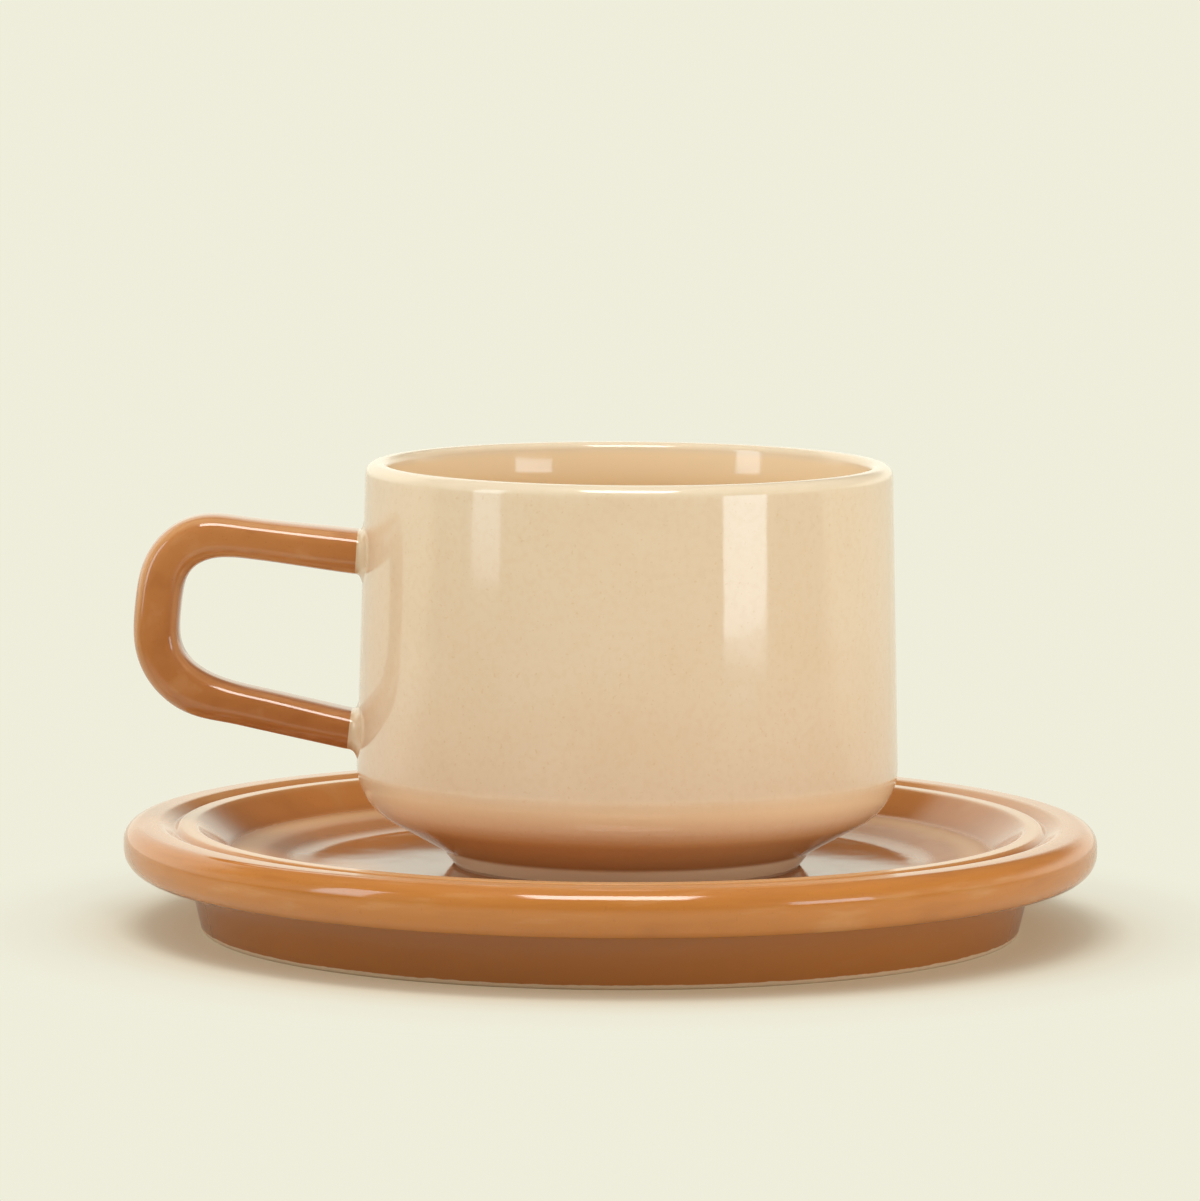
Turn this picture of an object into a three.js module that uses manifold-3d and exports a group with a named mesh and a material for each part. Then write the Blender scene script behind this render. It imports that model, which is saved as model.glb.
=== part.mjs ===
// A stoneware coffee cup with a loop handle, standing on its saucer.
// Millimetres, +Z up. The origin is on the table under the middle of the saucer, and the handle points to -X.
import * as THREE from "three";
import { mergeVertices } from "three/addons/utils/BufferGeometryUtils.js";
import Module from "manifold-3d";

// Cup: radii from its own axis, heights from the bottom of its foot.
const CUP_HEIGHT = 62;
const RIM_RADIUS = 40.5;
const BELLY_RADIUS = 41.85;
const BELLY_HEIGHT = 9.95;
const FOOT_RADIUS = 26.8;
const FOOT_HEIGHT = 2.6;
const FOOT_FLARE = 1.7;
const FOOT_WIDTH = 4;
const FOOT_DRAFT = 1.4;
const FOOT_RECESS = 2.2;
const CUP_WALL = 3.3;
const CUP_FLOOR = 4.4;
const LIP_DEPTH = 6;
const LIP_FLARE = 0.6;

// Cup roundings.
const FOOT_EDGE = 0.5;
const FOOT_COVE = 1.5;
const FOOT_RECESS_ROUND = 1;
const BELLY_ROUND = 9.4;
const LIP_OUTER_ROUND = 1.8;
const LIP_INNER_ROUND = 1.2;
const LIP_FLARE_ROUND = 30;
const BELLY_INNER_ROUND = 8;
const FLOOR_ROUND = 9;

// Saucer, built outwards from the cup's foot: widths across each step, heights from the table.
// The cup stands a little off the saucer's middle, as it was set down.
const CUP_OFFSET = 2.55;
const WELL_MARGIN = 18.65;
const WELL_HEIGHT = 10;
const SLOPE_WIDTH = 5;
const SLOPE_RISE = 1.6;
const LEDGE_WIDTH = 5.9;
const LEDGE_RISE = 0.6;
const INNER_WALL_WIDTH = 4.9;
const BEAD_WIDTH = 2.5;
const BEAD_RISE = 0.8;
const BEAD_FLANK = 0.9;
const GROOVE_DEPTH = 1.1;
const GROOVE_FLANK = 2.2;
const ROLL_WIDTH = 5.6;
const ROLL_HEIGHT = 7.6;
const RIM_RISE = 6.5;
const RIM_OVERHANG = 9.9;
const BASE_TAPER = 2.1;
const FOOT_RING_WIDTH = 4.4;
const RECESS_DRAFT = 1.8;
const SAUCER_FLOOR = 4.8;

// Saucer roundings.
const FOOT_RING_EDGE = 0.6;
const RECESS_ROUND = 2;
const BASE_COVE = 1.4;
const ROLL_INNER_ROUND = 2;
const GROOVE_ROUND = 0.5;
const BEAD_OUTER_ROUND = 0.8;
const BEAD_INNER_ROUND = 1.3;
const LEDGE_OUTER_ROUND = 2.2;
const LEDGE_INNER_ROUND = 10;
const WELL_ROUND = 16;

// Handle: reaches run out from the cup's wall, drops down from the rim, and heights up from the cup's foot.
const UPPER_ROOT_DROP = 13.9;
const TOP_BEND_DROP = 10.45;
const TOP_BEND_REACH = 30.35;
const TOP_BEND_RADIUS = 8.3;
const GRIP_HEIGHT = 32.4;
const GRIP_REACH = 31.8;
const GRIP_RADIUS = 9.5;
const LOW_BEND_HEIGHT = 26.2;
const LOW_BEND_REACH = 26.65;
const LOW_BEND_RADIUS = 11.2;
const LOWER_ROOT_HEIGHT = 20.7;

// The handle's strap: lengths along it run from the nearer root.
const ARM_THICKNESS = 6.15;
const ARM_WIDTH = 9.8;
const UPPER_ROOT_THICKNESS = 6.7;
const LOWER_ROOT_THICKNESS = 6;
const ROOT_WIDTH = 11.2;
const ROOT_FLARE = 15;
const GRIP_THICKNESS = 7.1;
const SWELL_START = 17;
const SWELL_LENGTH = 9;

// Slip joints: the collars between the ends of the handle and the cup's wall.
const UPPER_COLLAR_LENGTH = 0.9;
const LOWER_COLLAR_LENGTH = 1.25;
const COLLAR_FLARE = 0.7;
const COLLAR_CLEARANCE = 0.3;

// Fineness of the facets, and how square the handle's section is: 2 is an ellipse.
const SAUCER_SIDES = 76;
const CUP_SIDES = 68;
const PROFILE_ARC = THREE.MathUtils.degToRad(26);
const HANDLE_ARC = THREE.MathUtils.degToRad(9);
const HANDLE_STEP = 4;
const SECTION_SIDES = 20;
const SECTION_SQUARENESS = 3.3;

// Glazes.
const CREAM = "#dfc8a4";
const BROWN = "#a8642f";
const CARAMEL = "#b97a42";
const SLIP = "#e4cfae";
const GLOSS_ROUGHNESS = 0.2;

const wasm = await Module();
wasm.setup();

// A line through corners [x, y, radius], with each inner corner rounded by an arc that its sides
// have room for.
function rounded(corners, arcStep) {
  const points = corners.map(([x, y]) => new THREE.Vector2(x, y));
  const line = [points[0]];
  for (let i = 1; i < points.length - 1; i++) {
    const corner = points[i];
    const back = points[i - 1].clone().sub(corner);
    const ahead = points[i + 1].clone().sub(corner);
    const half = back.angleTo(ahead) / 2;
    const room = Math.min(back.length(), ahead.length()) / 2;
    const radius = Math.min(corners[i][2], room * Math.tan(half));
    const turn = Math.sign(ahead.cross(back)) * (Math.PI - 2 * half);
    const start = corner.clone().addScaledVector(back.normalize(), radius / Math.tan(half));
    const inward = back.add(ahead.normalize());
    const centre = corner.clone().add(inward.setLength(radius / Math.sin(half)));
    const steps = Math.max(1, Math.ceil(Math.abs(turn) / arcStep));
    for (let k = 0; k <= steps; k++) {
      line.push(start.clone().rotateAround(centre, (turn * k) / steps));
    }
  }
  line.push(points.at(-1));
  return line;
}

// A profile of [radius, height] points turned about the Z axis.
function revolve(profile, sides) {
  return new THREE.LatheGeometry(profile, sides).rotateX(Math.PI / 2);
}

// The middle of a ring of points.
function middleOf(ring) {
  return ring.reduce((sum, point) => sum.add(point), new THREE.Vector3()).divideScalar(ring.length);
}

// A closed skin over rings of points, with a fan across each end.
function loft(rings) {
  const sides = rings[0].length;
  const points = [...rings.flat(), middleOf(rings[0]), middleOf(rings.at(-1))];
  const lastRing = (rings.length - 1) * sides;
  const firstMiddle = rings.length * sides;
  const lastMiddle = firstMiddle + 1;
  const index = [];
  for (let i = 0; i < sides; i++) {
    const next = (i + 1) % sides;
    for (let ring = 0; ring < lastRing; ring += sides) {
      const above = ring + sides;
      index.push(ring + i, ring + next, above + next);
      index.push(ring + i, above + next, above + i);
    }
    index.push(firstMiddle, next, i);
    index.push(lastMiddle, lastRing + i, lastRing + next);
  }
  return new THREE.BufferGeometry().setFromPoints(points).setIndex(index);
}

// A geometry as a solid for cutting.
function solid(geometry) {
  const bare = new THREE.BufferGeometry();
  bare.setAttribute("position", geometry.getAttribute("position"));
  bare.setIndex(geometry.getIndex());
  const merged = mergeVertices(bare);
  const vertProperties = new Float32Array(merged.getAttribute("position").array);
  const triVerts = new Uint32Array(merged.getIndex().array);
  return new wasm.Manifold(new wasm.Mesh({ numProp: 3, vertProperties, triVerts }));
}

// One geometry with another cut away from it.
function cut(geometry, tool) {
  const mesh = solid(geometry).subtract(solid(tool)).getMesh();
  const left = new THREE.BufferGeometry();
  left.setAttribute("position", new THREE.BufferAttribute(mesh.vertProperties, 3));
  return left.setIndex(new THREE.BufferAttribute(mesh.triVerts, 1));
}

// Flat well, slope, ledge, inner wall, bead, groove and rolled rim, over a tapered base with a foot ring.
function saucerGeometry() {
  const wellRadius = FOOT_RADIUS + CUP_OFFSET + WELL_MARGIN;
  const ledgeInner = wellRadius + SLOPE_WIDTH;
  const ledgeOuter = ledgeInner + LEDGE_WIDTH;
  const beadInner = ledgeOuter + INNER_WALL_WIDTH;
  const beadOuter = beadInner + BEAD_WIDTH;
  const groove = beadOuter + BEAD_FLANK;
  const rollInner = groove + GROOVE_FLANK;
  const edge = rollInner + ROLL_WIDTH;
  const baseTop = edge - RIM_OVERHANG;
  const footOuter = baseTop - BASE_TAPER;
  const footInner = footOuter - FOOT_RING_WIDTH;
  const ledgeLow = WELL_HEIGHT + SLOPE_RISE;
  const ledgeHigh = ledgeLow + LEDGE_RISE;
  const rimTop = WELL_HEIGHT + RIM_RISE;
  const rimUnderside = rimTop - ROLL_HEIGHT;
  const grooveHeight = rimTop - GROOVE_DEPTH;
  const beadHeight = grooveHeight + BEAD_RISE;
  const recessHeight = WELL_HEIGHT - SAUCER_FLOOR;
  const rollRound = ROLL_HEIGHT / 2;
  const profile = rounded(
    [
      [0, recessHeight],
      [footInner - RECESS_DRAFT, recessHeight, RECESS_ROUND],
      [footInner, 0, FOOT_RING_EDGE],
      [footOuter, 0, FOOT_RING_EDGE],
      [baseTop, rimUnderside, BASE_COVE],
      [edge, rimUnderside, rollRound],
      [edge, rimTop, rollRound],
      [rollInner, rimTop, ROLL_INNER_ROUND],
      [groove, grooveHeight, GROOVE_ROUND],
      [beadOuter, beadHeight, BEAD_OUTER_ROUND],
      [beadInner, beadHeight, BEAD_INNER_ROUND],
      [ledgeOuter, ledgeHigh, LEDGE_OUTER_ROUND],
      [ledgeInner, ledgeLow, LEDGE_INNER_ROUND],
      [wellRadius, WELL_HEIGHT, WELL_ROUND],
      [0, WELL_HEIGHT],
    ],
    PROFILE_ARC,
  );
  return revolve(profile, SAUCER_SIDES);
}

// The cup's outer wall leans in from the belly to the rim.
function wallRadius(height) {
  return THREE.MathUtils.mapLinear(height, BELLY_HEIGHT, CUP_HEIGHT, BELLY_RADIUS, RIM_RADIUS);
}

// Foot ring, cove, tapered underside, belly, wall, lip, the flare inside it, and the inside at an even wall.
function cupGeometry() {
  const footInner = FOOT_RADIUS - FOOT_WIDTH;
  const taperRadius = FOOT_RADIUS + FOOT_FLARE;
  const taper = (BELLY_HEIGHT - FOOT_HEIGHT) / (BELLY_RADIUS - taperRadius);
  const floorHeight = FOOT_RECESS + CUP_FLOOR;
  const lipInner = RIM_RADIUS - CUP_WALL;
  const bellyInner = BELLY_RADIUS - CUP_WALL - LIP_FLARE;
  const profile = rounded(
    [
      [0, FOOT_RECESS],
      [footInner - FOOT_DRAFT, FOOT_RECESS, FOOT_RECESS_ROUND],
      [footInner, 0, FOOT_EDGE],
      [FOOT_RADIUS, 0, FOOT_EDGE],
      [taperRadius, FOOT_HEIGHT, FOOT_COVE],
      [BELLY_RADIUS, BELLY_HEIGHT, BELLY_ROUND],
      [RIM_RADIUS, CUP_HEIGHT, LIP_OUTER_ROUND],
      [lipInner, CUP_HEIGHT, LIP_INNER_ROUND],
      [lipInner - LIP_FLARE, CUP_HEIGHT - LIP_DEPTH, LIP_FLARE_ROUND],
      [bellyInner, floorHeight + taper * (bellyInner - taperRadius), BELLY_INNER_ROUND],
      [taperRadius, floorHeight, FLOOR_ROUND],
      [0, floorHeight],
    ],
    PROFILE_ARC,
  );
  return revolve(profile, CUP_SIDES);
}

// The handle's centre line in the XZ plane, from the upper root round the loop to the lower root.
function handleLine() {
  const corner = (reach, height, radius) => [-wallRadius(height) - reach, height, radius];
  const line = rounded(
    [
      corner(UPPER_COLLAR_LENGTH, CUP_HEIGHT - UPPER_ROOT_DROP),
      corner(TOP_BEND_REACH, CUP_HEIGHT - TOP_BEND_DROP, TOP_BEND_RADIUS),
      corner(GRIP_REACH, GRIP_HEIGHT, GRIP_RADIUS),
      corner(LOW_BEND_REACH, LOW_BEND_HEIGHT, LOW_BEND_RADIUS),
      corner(LOWER_COLLAR_LENGTH, LOWER_ROOT_HEIGHT),
    ],
    HANDLE_ARC,
  );
  const fine = [line[0]];
  for (const point of line.slice(1)) {
    const from = fine.at(-1);
    const steps = Math.ceil(from.distanceTo(point) / HANDLE_STEP);
    for (let k = 1; k <= steps; k++) {
      fine.push(from.clone().lerp(point, k / steps));
    }
  }
  return fine;
}

// A rounded-rectangle ring of the handle, square to its run at a point of the centre line.
function section(point, run, thickness, width) {
  const across = new THREE.Vector2(run.y, -run.x);
  const bulge = (value) => Math.sign(value) * Math.abs(value) ** (2 / SECTION_SQUARENESS);
  const ring = [];
  for (let i = 0; i < SECTION_SIDES; i++) {
    const angle = (2 * Math.PI * i) / SECTION_SIDES;
    const spot = point.clone().addScaledVector(across, (bulge(Math.cos(angle)) * thickness) / 2);
    ring.push(new THREE.Vector3(spot.x, (bulge(Math.sin(angle)) * width) / 2, spot.y));
  }
  return ring;
}

// Rings along the handle, thicker through the grip and flared towards both roots. Its ends are cut halfway
// between square to the strap and upright.
function handleRings() {
  const line = handleLine();
  const last = line.length - 1;
  const ahead = (i) => line[Math.min(i + 1, last)].clone();
  const behind = (i) => line[Math.max(i - 1, 0)];
  const runs = line.map((_, i) => ahead(i).sub(behind(i)).normalize());
  const outward = new THREE.Vector2(-1, 0);
  runs[0].add(outward).normalize();
  runs[last].sub(outward).normalize();
  const walked = [0];
  for (let i = 1; i <= last; i++) {
    walked.push(walked[i - 1] + line[i].distanceTo(line[i - 1]));
  }
  const rings = line.map((point, i) => {
    const upper = walked[i] < walked[last] / 2;
    const fromRoot = upper ? walked[i] : walked[last] - walked[i];
    const rootThickness = upper ? UPPER_ROOT_THICKNESS : LOWER_ROOT_THICKNESS;
    const flare = 1 - THREE.MathUtils.smoothstep(fromRoot, 0, ROOT_FLARE);
    const swell = THREE.MathUtils.smoothstep(fromRoot, SWELL_START, SWELL_START + SWELL_LENGTH);
    const arm = THREE.MathUtils.lerp(ARM_THICKNESS, rootThickness, flare);
    const thickness = arm + swell * (GRIP_THICKNESS - ARM_THICKNESS);
    const width = THREE.MathUtils.lerp(ARM_WIDTH, ROOT_WIDTH, flare);
    return section(point, runs[i], thickness, width);
  });
  return { rings, upperRun: runs[0].clone().negate(), lowerRun: runs[last] };
}

// A collar of a length from the end of the handle to the wall, flared a little and cut to the wall's curve.
function collarGeometry(ring, run, length) {
  const depth = length + ROOT_WIDTH / 2;
  const spread = 1 + (2 * COLLAR_FLARE * depth) / length / ROOT_WIDTH;
  const middle = middleOf(ring);
  const inside = new THREE.Vector3(depth, 0, (run.y / run.x) * depth).add(middle);
  const far = ring.map((point) => point.clone().sub(middle).multiplyScalar(spread).add(inside));
  const wall = [
    new THREE.Vector2(0, 0),
    new THREE.Vector2(wallRadius(0) + COLLAR_CLEARANCE, 0),
    new THREE.Vector2(wallRadius(CUP_HEIGHT) + COLLAR_CLEARANCE, CUP_HEIGHT),
    new THREE.Vector2(0, CUP_HEIGHT),
  ];
  return cut(loft([ring, far]), revolve(wall, CUP_SIDES));
}

function piece(name, geometry, colour) {
  const glaze = new THREE.MeshStandardMaterial({ color: colour, roughness: GLOSS_ROUGHNESS, metalness: 0 });
  const mesh = new THREE.Mesh(geometry, glaze);
  mesh.name = name;
  return mesh;
}

// The cup with its handle, standing on the floor of the saucer's well.
function cupGroup() {
  const { rings, upperRun, lowerRun } = handleRings();
  const upperRing = [...rings[0]].reverse();
  const lowerRing = rings.at(-1);
  const group = new THREE.Group();
  group.add(piece("cup_body", cupGeometry(), CREAM));
  group.add(piece("handle", loft(rings), BROWN));
  group.add(piece("upper_slip_joint", collarGeometry(upperRing, upperRun, UPPER_COLLAR_LENGTH), SLIP));
  group.add(piece("lower_slip_joint", collarGeometry(lowerRing, lowerRun, LOWER_COLLAR_LENGTH), SLIP));
  group.position.set(CUP_OFFSET, 0, WELL_HEIGHT);
  return group;
}

const cupAndSaucer = new THREE.Group();
cupAndSaucer.add(piece("saucer", saucerGeometry(), CARAMEL));
cupAndSaucer.add(cupGroup());

export default cupAndSaucer;
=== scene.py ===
import math

import bpy
import numpy as np
from bpy.props import FloatProperty, FloatVectorProperty, PointerProperty
from mathutils import Matrix, Vector


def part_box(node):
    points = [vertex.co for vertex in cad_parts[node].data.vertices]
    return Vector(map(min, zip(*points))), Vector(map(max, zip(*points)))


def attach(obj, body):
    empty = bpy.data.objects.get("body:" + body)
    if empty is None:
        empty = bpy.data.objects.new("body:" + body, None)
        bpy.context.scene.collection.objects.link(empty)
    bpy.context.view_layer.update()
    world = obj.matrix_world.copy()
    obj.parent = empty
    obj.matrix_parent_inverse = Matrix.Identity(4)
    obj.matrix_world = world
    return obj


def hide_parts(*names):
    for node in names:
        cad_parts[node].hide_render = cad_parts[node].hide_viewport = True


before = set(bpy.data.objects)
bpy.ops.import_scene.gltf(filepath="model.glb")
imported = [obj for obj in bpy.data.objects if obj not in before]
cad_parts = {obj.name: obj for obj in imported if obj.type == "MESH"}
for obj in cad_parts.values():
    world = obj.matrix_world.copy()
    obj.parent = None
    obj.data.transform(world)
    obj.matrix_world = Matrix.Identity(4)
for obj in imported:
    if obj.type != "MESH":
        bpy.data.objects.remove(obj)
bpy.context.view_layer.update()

bl_info = {
    "name": "Cup and Saucer",
    "version": (1, 0, 0),
    "blender": (4, 5, 0),
    "location": "View3D > Sidebar > Tableware",
    "description": "A glazed stoneware cup and its saucer, dressed over their packed solids",
    "category": "Object",
}

MM = 0.001
CUP_LOW, CUP_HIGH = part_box("cup_body")
SAUCER_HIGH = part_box("saucer")[1]

# Fineness of the turned and swept skins. Points closer than a share of a step are dropped, and the bell
# curve that eases the handle's bends is cut off after a few reaches.
SAUCER_SIDES = 256
CUP_SIDES = 256
HANDLE_SIDES = 96
ARC_POINTS = 15
PROFILE_STEP = 2.0 * MM
CLOSEST_SHARE = 0.02
HANDLE_STEP = 0.5 * MM
HANDLE_EASE = 2.2 * MM
BELL_REACHES = 4
COLLAR_RINGS = 14
SHARP_ANGLE = math.radians(50)
SKIN_MAP = "Skin"

# Glaze and clay: grains of each noise to a metre, the levels between which it shows, heights of the relief
# in millimetres, and roughness.
GLAZE_IOR = 1.58
WAVE_SCALE = 110.0
WAVE_HEIGHT = 0.030
PEEL_SCALE = 1900.0
PEEL_HEIGHT = 0.0012
DULL_SPOT_SCALE = 260.0
DULL_SPOT_LEVELS = (0.45, 0.75)
DULL_SPOT_ROUGHNESS = 0.035
GRAIN_SCALE = 5200.0
GRAIN_HEIGHT = 0.08
CLAY_ROUGHNESS = 0.85
CLOUD_SCALE = 48.0
CLOUD_LEVELS = (0.35, 0.75)
SPECK_SCALE = 2100.0
SPECK_LEVELS = (0.76, 0.80)
SPECK_SHARE = 0.22
MIST_SCALE = 950.0
MIST_LEVELS = (0.40, 0.75)

# The line where the glaze stops over a foot: its height, how far it wanders and how soft it is.
CUP_GLAZE_LINE = 0.42 * MM
SAUCER_GLAZE_LINE = 0.62 * MM
GLAZE_LINE_SCALE = 420.0
GLAZE_LINE_WANDER = 0.35 * MM
GLAZE_LINE_SOFTNESS = 0.12 * MM

# The cup's glaze: where each shade comes in, from none to full, and how far the glaze goes over to it.
# Some shades are painted light and shade: lighter inside the cup and over the belly's turn, darker deep
# inside and below the belly, and lighter round the foot.
CREAM_CLOUDS = 0.10
CREAM_MIST = 0.10
INSIDE_OVER_UNDERSIDE = (1.6 * MM, 2.8 * MM)
INSIDE_BELOW_LIP = (2.0 * MM, 11.0 * MM)
INSIDE_POOL_AND_SHADE = 0.40
TURN_OVER_BELLY = 2.4 * MM
TURN_REACH = 3.6 * MM
TURN_LIT = 0.60
POOL_AND_SHADE_OVER_BELLY = (0.6 * MM, -2.6 * MM)
BELLY_POOL_AND_SHADE = 0.66
THIN_BELOW_LIP = (2.2 * MM, 0.4 * MM)
LIP_THIN = 0.80
BAND_OVER_FOOT = (0.6 * MM, 0.0)
BAND_BESIDE_FOOT = (-1.2 * MM, -0.4 * MM)

# The saucer's glaze, in the same way. The breaks are thin glaze with painted light on the upward faces,
# the well's pool is partly painted shade, and the base's deep tone is painted shade under the rim.
CARAMEL_CLOUDS = 0.16
STREAKS_ROUND = 5.0
STREAKS_ACROSS = 420.0
DARK_STREAK_LEVELS = (0.50, 0.78)
DARK_STREAKS = 0.30
PALE_STREAK_LEVELS = (0.46, 0.25)
PALE_STREAKS = 0.32
UPPER_OVER_WELL = (-2.0 * MM, 0.0)
CREST_BELOW_RIM = (1.9 * MM, 0.4 * MM)
BEAD_BREAK_REACH = 2.4 * MM
ROLL_BREAK_OUT = 0.4 * MM
ROLL_BREAK_REACH = 3.2 * MM
ROLL_BREAK_AND_LIGHT = 0.5
LEDGE_BREAK_REACH = 3.6 * MM
CARAMEL_BREAKS_AND_LIGHT = 0.90
GROOVE_POOL_REACH = 1.1 * MM
GROOVE_POOL = 0.20
LEDGE_POOL_REACH = 2.0 * MM
LEDGE_POOL = 0.30
POOL_AND_SHADE_BESIDE_WELL = (3.0 * MM, -3.0 * MM)
WELL_POOL_AND_SHADE = 0.25
BASE_BELOW_ROLL = (1.0 * MM, -0.6 * MM)
BASE_BESIDE_TOP = (3.0 * MM, 0.5 * MM)
BASE_SHADE = 0.90
DULL_BESIDE_WELL = (0.5 * MM, 3.0 * MM)
DULL_BESIDE_LEDGE = (1.0 * MM, -1.0 * MM)

# The handle's and the collars' glaze, in the same way. The thin corners are partly a painted sheen, and
# the handle is painted darker lower down as shade.
BROWN_CLOUDS = 0.25
CORNER_LEVELS = (0.80, 1.0)
CORNERS_THIN_AND_LIT = 0.55
SHADE_HEIGHTS = (60.0 * MM, 32.0 * MM)
SHADE_BELOW = 0.50
CLOUDS_ALONG = 13.0
CLOUDS_AROUND = 9.0
DARK_CLOUD_LEVELS = (0.50, 0.75)
DARK_CLOUDS = 0.38
PALE_CLOUD_LEVELS = (0.46, 0.28)
PALE_CLOUDS = 0.22
SLIP_CLOUDS = 0.12

# The floor: half its width, and distances from the saucer's axis where its looks change. In the shadow it
# keeps a share of the backdrop's glow, which is painted light, warm beside the saucer as a painted bounce.
FLOOR_HALF = 40.0
SHADOW_GLOW = 0.22
SHADOW_OUT = (0.077, 0.110)
BOUNCE_OUT = (0.068, 0.088)
MIRROR_OUT = (0.13, 0.24)
DARK_FLOOR_BACK = (-0.05, 0.12)

# The room by direction, x to the right, y away and z up: edges of its bright parts, from none to full, then
# levels of the light it gives and of what the glaze mirrors. A Mix node's factor stops at 1, so the levels
# are taken as shares of the brightest.
LOW_Z = (0.40, 0.16)
ABOVE_Z = (0.25, 0.80)
ZENITH_Z = (0.78, 0.95)
ASIDE_X = (0.25, 0.50)
RIGHT_X = (0.0, 0.80)
WALL_Y = (0.10, 0.60)
WINDOW_X = (0.12, 0.0)
WINDOW_Y = (0.30, 0.55)
WINDOW_Z = (0.66, 0.58)
MIRROR_SIDES_Z = (0.60, 0.30)
ABOVE_LEVEL = 0.9
ZENITH_LEVEL = 1.1
SIDES_LEVEL = 0.5
BEHIND_LEVEL = 0.95
LEFT_LEVEL = 0.02
LOW_LEVEL = 0.03
LOW_RIGHT_LEVEL = 0.17
MIRROR_LEVEL = 0.09
MIRROR_SIDES_LEVEL = 0.5
MIRROR_BACK_LEVEL = 1.05
MIRROR_ABOVE_LEVEL = 0.12
BRIGHTEST = 4.0

# The lamps: places, and sizes across and up. A side lamp has degrees round from the front, a lower and an
# upper end, and a width. The gleam hangs a little further out than the key lamp, so that both are mirrored.
WARM = (1.0, 0.975, 0.93)
COOL = (0.74, 0.90, 1.0)
ORIGIN = (0.0, 0.0, 0.0)
KEY_PLACE = (0.0, -0.75, 1.30)
KEY_SIZE = (0.8, 0.62)
GLEAM_FURTHER = 1.03
TOP_PLACE = (-0.16, -0.30, 1.25)
TOP_SIZE = (0.70, 0.36)
RIGHT_SOFTBOX = (49.5, 0.015, 0.130, 0.19)
LEFT_SOFTBOX = (-62.0, 0.028, 0.085, 0.135)
LEFT_SOFTBOX_TOP = (-62.0, 0.085, 0.40, 0.135)
RIGHT_FILL_PLACE = (0.46, -0.30, 0.12)
LEFT_FILL_PLACE = (-0.54, -0.10, 0.20)
FILL_AIM = (0.0, 0.0, 0.03)
FILL_SIZE = (0.25, 0.25)

# The camera's frame in millimetres, and its focal length and longer side in pixels.
FRAME_SIDE = 36.0
FOCAL_PIXELS = 7680.0
SIDE_PIXELS = 1201.0


def length(name, description, default):
    """A size in metres."""
    return FloatProperty(
        name=name, description=description, default=default, min=0.0, unit="LENGTH", precision=5
    )


def mm(name, description, default):
    """A size given in millimetres."""
    return length(name, description, default * MM)


def colour(name, description, default):
    """A linear colour."""
    return FloatVectorProperty(
        name=name, description=description, default=default, min=0.0, max=1.0, size=3, subtype="COLOR"
    )


def number(name, description, default, unit="NONE"):
    """A number, with its unit if it has one."""
    return FloatProperty(name=name, description=description, default=default, unit=unit, precision=4)


class SaucerSizes(bpy.types.PropertyGroup):
    """Sizes of the saucer: widths run inwards from its edge, heights up from the table."""

    radius: length("Radius", "From the axis to the edge of the rim", SAUCER_HIGH.x)
    height: length("Height", "From the table to the top of the rim", SAUCER_HIGH.z)
    roll_width: mm("Roll width", "Flat of the rolled rim, from its edge inwards", 5.6)
    roll_height: mm("Roll height", "Thickness of the rolled rim", 7.6)
    roll_round: mm("Roll rounding", "Radius of the roll's inner edge", 2.0)
    groove_flank: mm("Groove flank", "Width of the slope from the roll into the groove", 2.2)
    groove_depth: mm("Groove depth", "Depth of the groove below the rim", 1.1)
    groove_round: mm("Groove rounding", "Radius of its bottom", 0.5)
    bead_flank: mm("Bead flank", "Width of the slope from the groove up to the bead", 0.9)
    bead_rise: mm("Bead rise", "Height of the bead over the groove", 0.8)
    bead_width: mm("Bead width", "Flat of the inner bead", 2.5)
    bead_outer_round: mm("Bead's outer rounding", "Radius of its outer edge", 0.8)
    bead_inner_round: mm("Bead's inner rounding", "Radius of its inner edge", 1.3)
    inner_wall_width: mm("Inner wall width", "Width of the wall from bead to ledge", 4.9)
    ledge_width: mm("Ledge width", "Width of the ledge round the well", 5.9)
    ledge_rise: mm("Ledge rise", "Height of the ledge's outer edge over its inner one", 0.6)
    ledge_outer_round: mm("Ledge's outer rounding", "Radius from wall to ledge", 2.2)
    ledge_inner_round: mm("Ledge's inner rounding", "Radius from ledge to slope", 10.0)
    slope_width: mm("Slope width", "Width of the slope from the ledge to the well", 5.0)
    slope_rise: mm("Slope rise", "Height of the ledge's inner edge over the well", 1.6)
    well_height: length("Well height", "From the table to the floor of the well", CUP_LOW.z)
    well_round: mm("Well rounding", "Radius from slope to well", 16.0)
    floor: mm("Floor", "Thickness of the well's floor", 4.8)
    overhang: mm("Overhang", "How far the rim stands out over the base", 9.9)
    base_taper: mm("Base taper", "How far the base draws in to the foot ring", 2.1)
    base_cove: mm("Base cove", "Radius from base to rim", 1.4)
    foot_width: mm("Foot ring width", "Width of the foot ring", 4.4)
    foot_edge: mm("Foot ring edge", "Radius of the foot ring's edges", 0.6)
    recess_draft: mm("Recess draft", "Slope of the recess under the floor", 1.8)
    recess_round: mm("Recess rounding", "Radius of its corner", 2.0)


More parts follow.
